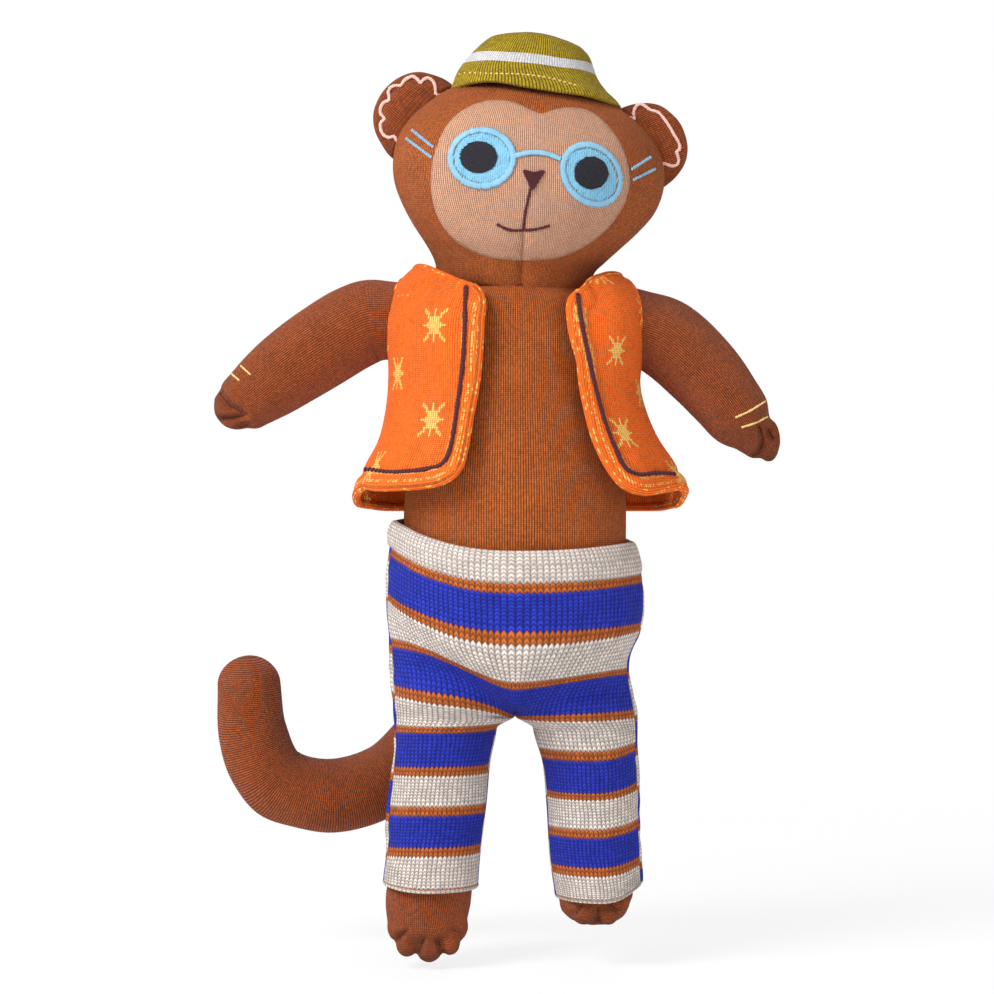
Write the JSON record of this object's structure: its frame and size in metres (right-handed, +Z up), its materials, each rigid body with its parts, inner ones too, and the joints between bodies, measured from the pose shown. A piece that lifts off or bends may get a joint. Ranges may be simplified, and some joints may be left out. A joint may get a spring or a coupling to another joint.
{
  "type": "knitted monkey doll",
  "caption": "Stuffed knitted monkey with stitched-on glasses, bucket hat, open waistcoat and striped trousers; head, arms, legs, ears and tail move.",
  "frame": {"origin": "middle of the waist, where a doll stand's clip or a hand holds it", "axes": "+Z up through the body, -Y the way the doll faces, +X towards its own left hand"},
  "size_m": [0.27, 0.1296, 0.4361],
  "materials": {
    "brown_knit": "stockinette knit, matte",
    "face_knit": "fine knit, matte",
    "blue_thread": "satin stitch",
    "dark_thread": "satin stitch",
    "maroon_thread": "satin stitch",
    "olive_knit": "fine ribbed knit, matte",
    "white_knit": "knit, matte",
    "orange_knit": "knit with yellow stars, matte",
    "striped_knit": "striped knit in cream, blue and brown, matte",
    "cream_knit": "rolled knit, matte",
    "pink_yarn": "crocheted edge, matte"
  },
  "bodies": {
    "torso": {"torso": "brown_knit", "vest": "orange_knit", "trousers": "striped_knit", "trousers_waistband": "cream_knit"},
    "neck": {"neck": "brown_knit"},
    "head": {"head": "brown_knit", "face_patch": "face_knit", "glasses_rim_right": "blue_thread", "glasses_rim_left": "blue_thread", "glasses_lens_right": "blue_thread", "glasses_lens_left": "blue_thread", "glasses_bridge": "blue_thread", "pupil_right": "dark_thread", "pupil_left": "dark_thread", "temple_right_upper": "blue_thread", "temple_right_lower": "blue_thread", "temple_left_upper": "blue_thread", "temple_left_lower": "blue_thread", "nose": "maroon_thread", "mouth": "maroon_thread", "hat_crown": "olive_knit", "hat_band": "white_knit", "hat_brim": "olive_knit"},
    "ear_right": {"ear_right": "brown_knit", "ear_trim_right": "pink_yarn"},
    "ear_left": {"ear_left": "brown_knit", "ear_trim_left": "pink_yarn"},
    "arm_right": {"arm_right": "brown_knit"},
    "arm_left": {"arm_left": "brown_knit"},
    "leg_right": {"leg_right": "brown_knit", "trousers_hem_right": "cream_knit"},
    "leg_left": {"leg_left": "brown_knit", "trousers_hem_left": "cream_knit"},
    "tail": {"tail": "brown_knit"}
  },
  "joints": [
    {"name": "head_turn", "type": "hinge", "parent": "torso", "child": "neck", "pos_m": [0.0005, 0, 0.1025], "axis": [0, 0, 1], "range_deg": [-30, 30]},
    {"name": "head_nod", "type": "hinge", "parent": "neck", "child": "head", "pos_m": [0.0005, 0, 0.1025], "axis": [1, 0, 0], "range_deg": [-15, 15]},
    {"name": "ear_fold_right", "type": "hinge", "parent": "head", "child": "ear_right", "pos_m": [-0.04665, 0.005, 0.18122], "axis": [-0.6481, 0, -0.7615], "range_deg": [-25, 25]},
    {"name": "ear_fold_left", "type": "hinge", "parent": "head", "child": "ear_left", "pos_m": [0.06529, 0.005, 0.16747], "axis": [0.4446, 0, -0.8957], "range_deg": [-25, 25]},
    {"name": "arm_raise_right", "type": "hinge", "parent": "torso", "child": "arm_right", "pos_m": [-0.0485, 0, 0.084], "axis": [0, 1, 0], "range_deg": [-25, 40], "deforming": ["vest"]},
    {"name": "arm_raise_left", "type": "hinge", "parent": "torso", "child": "arm_left", "pos_m": [0.0485, 0, 0.084], "axis": [0, -1, 0], "range_deg": [-15, 50], "deforming": ["vest"]},
    {"name": "leg_swing_right", "type": "hinge", "parent": "torso", "child": "leg_right", "pos_m": [-0.0345, 0, -0.095], "axis": [-1, 0, 0], "range_deg": [-8, 80], "deforming": ["trousers"]},
    {"name": "leg_swing_left", "type": "hinge", "parent": "torso", "child": "leg_left", "pos_m": [0.0345, 0, -0.095], "axis": [-1, 0, 0], "range_deg": [-8, 80], "deforming": ["trousers"]},
    {"name": "tail_swing", "type": "hinge", "parent": "torso", "child": "tail", "pos_m": [-0.008, 0.03, -0.072], "axis": [0, 1, 0], "range_deg": [-20, 30]}
  ]
}
